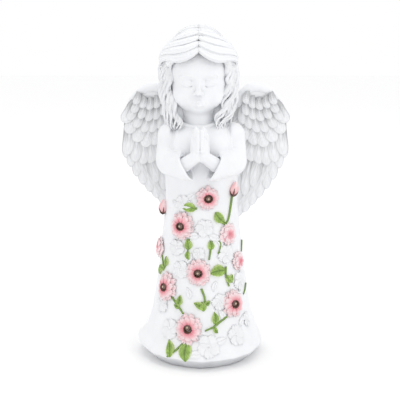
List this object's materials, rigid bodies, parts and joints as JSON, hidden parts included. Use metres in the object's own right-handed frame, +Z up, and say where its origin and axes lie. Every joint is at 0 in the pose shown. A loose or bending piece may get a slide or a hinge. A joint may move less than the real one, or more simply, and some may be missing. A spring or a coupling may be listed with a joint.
{
  "type": "lit garden angel figurine",
  "caption": "Praying winged angel in white resin with long wavy hair and a robe of pink flowers, some with small solar-powered lamps.",
  "frame": {"origin": "centre of the figure's bounding box in plan, on the surface it stands on", "axes": "+Z up through the head, the face looks along -Y, the figure's own left is +X"},
  "size_m": [0.154, 0.11, 0.3],
  "materials": {
    "white_resin": "satin cool-white cast resin with grey wash in the recesses",
    "pink_paint": "hand-painted pink fading to white at the petal tips",
    "bud_paint": "hand-painted pink, darker at the base",
    "leaf_paint": "hand-painted green with olive stems",
    "led_lens": "clear epoxy dome",
    "lead_insulation": "soft PVC",
    "black_plastic": "fine moulded texture",
    "knob_plastic": "ribbed moulding",
    "gasket_rubber": "closed-cell foam",
    "clear_window": "clear epoxy",
    "cell_face": "dark blue silicon with silver lines",
    "battery_sleeve": "plain shrink sleeve",
    "plated_steel": "nickel plated",
    "board": "solder resist",
    "nylon": "natural nylon"
  },
  "bodies": {
    "figure": {"lit_flower_1": "pink_paint", "led_1": "led_lens", "led_lead_1": "lead_insulation", "lit_flower_2": "pink_paint", "led_2": "led_lens", "led_lead_2": "lead_insulation", "lit_flower_3": "pink_paint", "led_3": "led_lens", "led_lead_3": "lead_insulation", "lit_flower_4": "pink_paint", "led_4": "led_lens", "led_lead_4": "lead_insulation", "lit_flower_5": "pink_paint", "led_5": "led_lens", "led_lead_5": "lead_insulation", "lit_flower_6": "pink_paint", "led_6": "led_lens", "led_lead_6": "lead_insulation", "pink_flower_1": "pink_paint", "pink_flower_2": "pink_paint", "pink_flower_3": "pink_paint", "bud_1": "bud_paint", "bud_2": "bud_paint", "sprig_1": "leaf_paint", "sprig_2": "leaf_paint", "sprig_3": "leaf_paint", "sprig_4": "leaf_paint", "sprig_5": "leaf_paint", "sprig_6": "leaf_paint", "sprig_7": "leaf_paint", "sprig_8": "leaf_paint", "sprig_9": "leaf_paint", "sprig_10": "leaf_paint", "head_with_hair": "white_resin", "praying_hands": "white_resin", "left_arm": "white_resin", "right_arm": "white_resin", "left_wing": "white_resin", "right_wing": "white_resin", "robe_shell": "white_resin", "solar_housing": "black_plastic", "housing_gasket": "gasket_rubber", "solar_frame": "black_plastic", "cell_window": "clear_window", "solar_cell": "cell_face", "battery": "battery_sleeve", "battery_spring": "plated_steel", "battery_contact": "plated_steel", "control_board": "board", "switch_body": "plated_steel", "lead_plug": "nylon", "base_plate": "black_plastic", "frame_screw_1": "plated_steel", "frame_screw_2": "plated_steel", "frame_screw_3": "plated_steel", "frame_screw_4": "plated_steel", "base_screw_1": "plated_steel", "base_screw_2": "plated_steel", "base_screw_3": "plated_steel"},
    "switch_knob": {"switch_knob": "knob_plastic"}
  },
  "joints": [
    {"name": "switch_slide", "type": "slide", "parent": "figure", "child": "switch_knob", "axis": [1, 0, 0], "range_m": [0, 0.003]}
  ]
}
